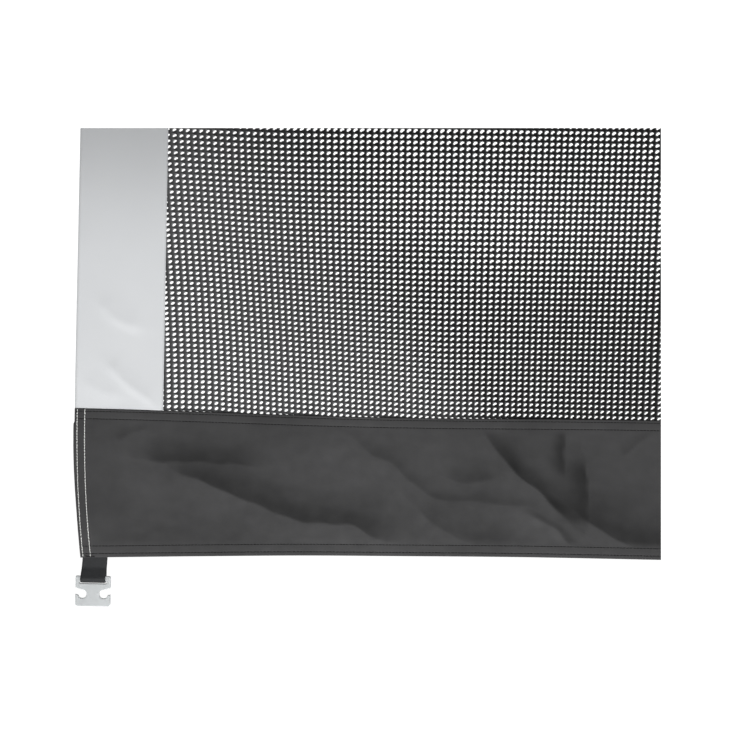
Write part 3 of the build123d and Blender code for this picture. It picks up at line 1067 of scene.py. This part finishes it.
def make_bar_tack(side):
    """A zigzag of close stitches, each from the bottom of the tack to its top or back."""
    lo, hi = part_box(f"{side}_bar_tack")
    xs = np.arange(lo.x + 0.4 * MM, hi.x, 0.8 * MM)
    rows = []
    for k, x in enumerate(xs):
        z = np.array([lo.z, hi.z] if k % 2 else [hi.z, lo.z])
        across = np.array([x - 0.3 * MM, x + 0.3 * MM])
        rows.append(np.stack([across, skirt_front(across, z), z], axis=1))
    piece = stitches(f"{side}_bar_tack_stitches", rows, (hi.z - lo.z) * 0.95, TACK_WIDTH, TACK_WIDTH)
    put(piece, "skirt", BLACK_THREAD, f"{side}_bar_tack")


def make_border():
    band = put(top_band(), "screen", LIGHT_CLOTH, "top_band")
    reach = HALF - ROW_END
    front, back = rows_across(lambda x, row: 0 * x + BAND_LOW + row, ROWS, reach, band_front, panel_behind)
    made = stitches("top_band_stitches", front, *BAND_STITCH, back)
    put(made, "screen", PALE_THREAD, "top_band_thread")
    for side in SIDES:
        strip = put(side_strip(side), "screen", LIGHT_CLOTH, f"{side}_side_strip")


def make_mesh():
    xs, zs = knit_lattice()
    rng = np.random.default_rng(3)
    columns = xs.shape[1] - 1
    cuts = [round(columns * k / MESH_BANDS) for k in range(MESH_BANDS + 1)]
    for number, (first, last) in enumerate(zip(cuts, cuts[1:]), 1):
        made, flat_size, net = mesh_band(number, xs[:, first : last + 1], zs[:, first : last + 1], rng)
        put(made, "screen", MESH_LOOK, "mesh_panel")


def make_welt():
    paint(NODES["keder_cord"], CORD)
    made, flat_size = tape_cloth()
    put(made, "screen", TAPE, "keder_tape")
    row = row_across(lambda x: 0 * x + TAPE_LOW + FLAG_ROW, flag_y, TAPE_REACH - ROW_END)
    made = stitches("keder_stitches", [row], *WELT_STITCH, [row * (1, -1, 1)])
    put(made, "screen", PALE_THREAD, "keder_thread")


def make_tab(side):
    piece = dress(webbing(side), WEBBING_LOOK)
    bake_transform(piece)
    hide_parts(f"{side}_tab_anchor", f"{side}_tab_loop")
    paint(NODES[f"{side}_peg_hook"], PLASTIC)


make_skirt()
make_border()
make_mesh()
make_welt()
for side in SIDES:
    make_side_stitches(side)
    make_bar_tack(side)
    make_tab(side)


# -------- camera, light and floor

LENS = 63.0
SENSOR = 36.0
VIEW = 0.735  # width and height of what the camera takes in at the cloth
EYE = (-0.30835, -LENS / SENSOR * VIEW, -0.6046)
ROLL = math.radians(1.12)
PAGE_TOP = 0.17415  # shares of the picture's height and width that stay white
PAGE_RIGHT = 0.10068
CARD_AHEAD = 0.003  # from the lens to the white card
CARD_GLOW = 1.2

AMBIENT = 0.20
BACKDROP = 1.15  # brightness of the world where the camera sees it
FLOOR_GLOW = 0.85
FLOOR_DROP = 0.65  # from the hem down to the floor
FLOOR_REACH = 12.0


def make_camera():
    data = bpy.data.cameras.new("camera")
    data.lens, data.sensor_width = LENS, SENSOR
    data.clip_start, data.clip_end = 0.0005, 50
    camera = add("camera", data)
    c, s = math.cos(ROLL), math.sin(ROLL)
    camera.matrix_world = Matrix(((c, -s, 0, EYE[0]), (0, 0, -1, EYE[1]), (s, c, 0, EYE[2]), (0, 0, 0, 1)))
    bpy.context.scene.camera = camera
    return camera


def glow(name, strength):
    material = bpy.data.materials.new(name)
    material.use_nodes = True
    tree = material.node_tree
    tree.nodes.clear()
    emission = tree.nodes.new("ShaderNodeEmission")
    emission.inputs["Strength"].default_value = strength
    output = tree.nodes.new("ShaderNodeOutputMaterial")
    tree.links.new(emission.outputs[0], output.inputs[0])
    return material


def stage_object(name, points, faces, material):
    """An object around the model that isn't part of it."""
    mesh = bpy.data.meshes.new(name)
    mesh.from_pydata(points, [], faces)
    mesh.materials.append(material)
    made = add(name, mesh)
    return made


def make_matte(camera):
    """A white card right at the lens, which crops the picture at its top and right."""
    reach = CARD_AHEAD * SENSOR / LENS / 2
    out = reach * 1.3
    right = reach - PAGE_RIGHT * 2 * reach
    top = reach - PAGE_TOP * 2 * reach
    outline = [(-out, top), (right, top), (right, -out), (out, -out), (out, out), (-out, out)]
    points = [(x, y, -CARD_AHEAD) for x, y in outline]
    card = stage_object("page_card", points, [(0, 1, 4, 5), (1, 2, 3, 4)], glow("page_white", CARD_GLOW))
    card.matrix_world = camera.matrix_world.copy()
    card.visible_diffuse = card.visible_glossy = card.visible_shadow = False


def make_floor():
    corners = [(-1, -1), (1, -1), (1, 1), (-1, 1)]
    points = [(x * FLOOR_REACH, y * FLOOR_REACH, HEM - FLOOR_DROP) for x, y in corners]
    look = Look("floor", (0.93, 0.93, 0.93), 0.9, Emission_Color=(1, 1, 1, 1), Emission_Strength=FLOOR_GLOW)
    stage_object("floor", points, [(0, 1, 2, 3)], look.material)


def make_world():
    world = bpy.data.worlds.new("studio")
    bpy.context.scene.world = world
    world.use_nodes = True
    tree = world.node_tree
    background = tree.nodes["Background"]
    background.inputs["Color"].default_value = (1, 1, 1, 1)
    path = tree.nodes.new("ShaderNodeLightPath")
    mix = tree.nodes.new("ShaderNodeMapRange")
    mix.inputs["To Min"].default_value = AMBIENT
    mix.inputs["To Max"].default_value = BACKDROP
    tree.links.new(path.outputs["Is Camera Ray"], mix.inputs["Value"])
    tree.links.new(mix.outputs[0], background.inputs["Strength"])


def light(name, kind, place, aim, power):
    """A light of one kind that looks from its place at its aim."""
    data = bpy.data.lights.new(name, kind)
    data.energy = power
    made = add(name, data)
    made.location = place
    made.rotation_euler = (Vector(aim) - Vector(place)).to_track_quat("-Z", "Y").to_euler()
    made.visible_camera = False
    return made


def spot_light(name, place, aim, power, half_angle, blend, size, stretch):
    """A spot whose soft pool of light is stretched along X; its half-angle is in degrees."""
    made = light(name, "SPOT", place, aim, power)
    made.data.shadow_soft_size = size
    made.data.spot_size, made.data.spot_blend = math.radians(2 * half_angle), blend
    made.scale = (stretch, 1, 1)


camera = make_camera()
make_matte(camera)
make_floor()
make_world()
spot_light(
    "low_front", (-0.35, -1.2, -1.28), (-0.35, 0, -0.85),
    power=44.0, half_angle=19.2, blend=0.50, size=0.04, stretch=3.0,
)
spot_light(
    "high_front", (0.0, -1.6, 0.55), (0, 0, -0.02),
    power=26.0, half_angle=11.0, blend=0.75, size=0.10, stretch=3.2,
)
soft_box = light("behind", "AREA", (0.5, 2.4, 0.5), (0, 0, -0.40), power=38.0)
soft_box.data.size = 1.4
bpy.context.scene.view_settings.view_transform = "Standard"
